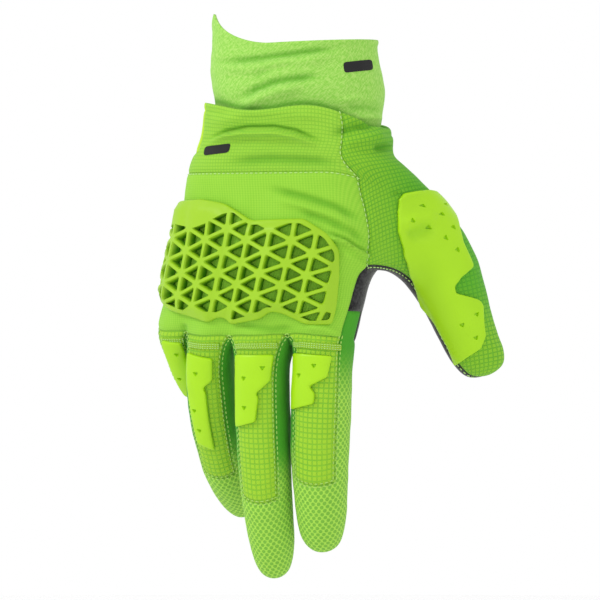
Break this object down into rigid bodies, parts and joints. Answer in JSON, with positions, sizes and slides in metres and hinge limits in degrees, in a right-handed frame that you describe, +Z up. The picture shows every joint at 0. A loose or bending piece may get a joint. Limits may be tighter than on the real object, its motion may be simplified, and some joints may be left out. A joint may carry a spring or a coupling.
{
  "type": "motocross glove",
  "caption": "Right-hand motocross glove held up with the fingers down: knitted slip-on cuff, mesh back, moulded lattice knuckle guard, moulded finger patches and black palm.",
  "frame": {"origin": "centre of the wrist opening, at the cuff's mouth", "axes": "+Z up the forearm, with the fingers down along -Z; -Y out of the back of the hand; +X towards the thumb"},
  "size_m": [0.1479, 0.0904, 0.2481],
  "materials": {
    "cuff": "matte",
    "ripstop_mesh": "matte",
    "stretch_knit": "matte",
    "side_knit": "matte",
    "palm_suede": "matte",
    "patch_rubber": "satin",
    "guard_rubber": "satin"
  },
  "bodies": {
    "root": {"cuff": "cuff", "wrist_back": "ripstop_mesh", "wrist_palm": "palm_suede", "ulnar_insert": "patch_rubber", "thumb_gusset": "side_knit", "hand_back": "stretch_knit", "palm": "palm_suede", "thumb_palm": "palm_suede", "little_back": "ripstop_mesh", "little_fourchette": "side_knit", "little_palm": "palm_suede", "little_patch": "patch_rubber", "ring_back": "ripstop_mesh", "ring_fourchette": "side_knit", "ring_palm": "palm_suede", "ring_patch": "patch_rubber", "middle_back": "ripstop_mesh", "middle_fourchette": "side_knit", "middle_palm": "palm_suede", "middle_patch": "patch_rubber", "index_back": "ripstop_mesh", "index_fourchette": "side_knit", "index_palm": "palm_suede", "index_patch": "patch_rubber", "thumb_patch": "patch_rubber", "knuckle_guard": "guard_rubber"}
  },
  "joints": []
}
